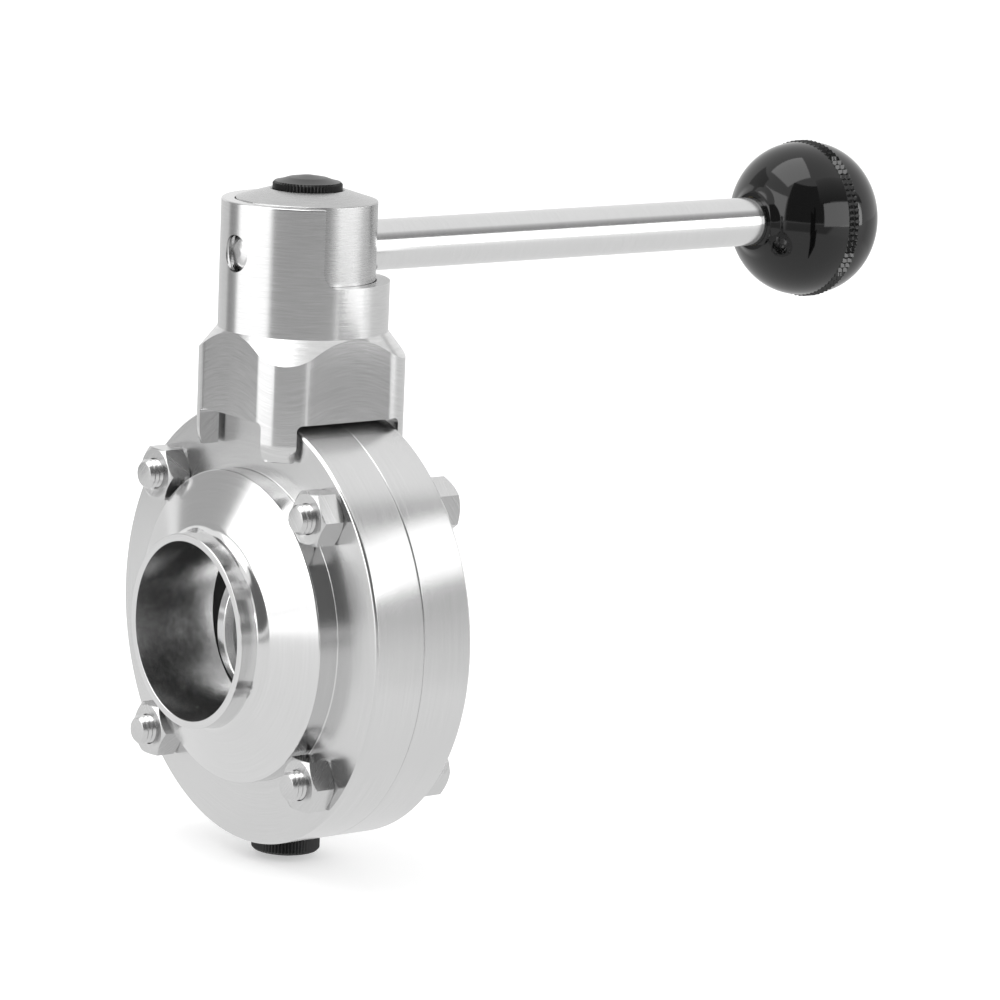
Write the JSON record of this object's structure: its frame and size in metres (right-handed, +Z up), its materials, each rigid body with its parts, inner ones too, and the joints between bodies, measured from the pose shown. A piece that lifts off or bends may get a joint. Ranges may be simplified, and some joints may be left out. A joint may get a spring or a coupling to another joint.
{
  "type": "weld-end butterfly valve",
  "caption": "Sanitary butterfly valve with weld ends, bolted round flanges, pull handle with spring latch, black ball knob and knurled caps.",
  "frame": {"origin": "centre of the front weld face, on the pipe axis", "axes": "+X along the pipe from the front weld face into the valve and, with the valve open, along the handle to the ball; +Z up along the stem to the handle; +Y completes the right-handed set"},
  "size_m": [0.1675, 0.0866, 0.137],
  "materials": {
    "satin_stainless": "fine turned satin stainless steel",
    "polished_stainless": "polished stainless steel",
    "brushed_stainless": "brushed stainless steel",
    "drawn_stainless": "ground stainless bar",
    "fastener_stainless": "bright stainless fasteners",
    "spring_steel": "bright spring wire",
    "brass": "turned brass",
    "black_rubber": "matte black rubber",
    "white_plastic": "white bearing plastic",
    "black_plastic": "matte black moulded plastic",
    "gloss_black_plastic": "glossy black phenolic"
  },
  "bodies": {
    "valve_body": {"body_front": "satin_stainless", "body_rear": "satin_stainless", "seat_ring": "black_rubber", "upper_stem_bush": "white_plastic", "lower_stem_bush": "white_plastic", "bottom_cap": "black_plastic", "hex_bolts": "fastener_stainless", "hex_nuts": "fastener_stainless", "lever_bracket": "brushed_stainless", "thrust_washer": "white_plastic"},
    "turning_head": {"disc_and_stem": "polished_stainless", "handle_head": "brushed_stainless", "head_screw_washer": "fastener_stainless", "head_screw": "fastener_stainless", "top_cap": "black_plastic", "latch_spring": "spring_steel", "upper_stem_o_ring": "black_rubber", "lower_stem_o_ring": "black_rubber"},
    "pull_handle": {"handle_rod": "drawn_stainless", "latch_pin": "fastener_stainless", "ball_knob": "gloss_black_plastic", "ball_insert": "brass"}
  },
  "joints": [
    {"name": "valve_turn", "type": "hinge", "parent": "valve_body", "child": "turning_head", "pos_m": [0.0255, 0, 0], "axis": [0, 0, 1], "range_deg": [-90, 0]},
    {"name": "handle_pull", "type": "slide", "parent": "turning_head", "child": "pull_handle", "axis": [1, 0, 0], "range_m": [-0.0015, 0.0015], "stiffness_N_per_m": 1500, "springref_m": -0.006, "deforming": ["latch_spring"]}
  ]
}
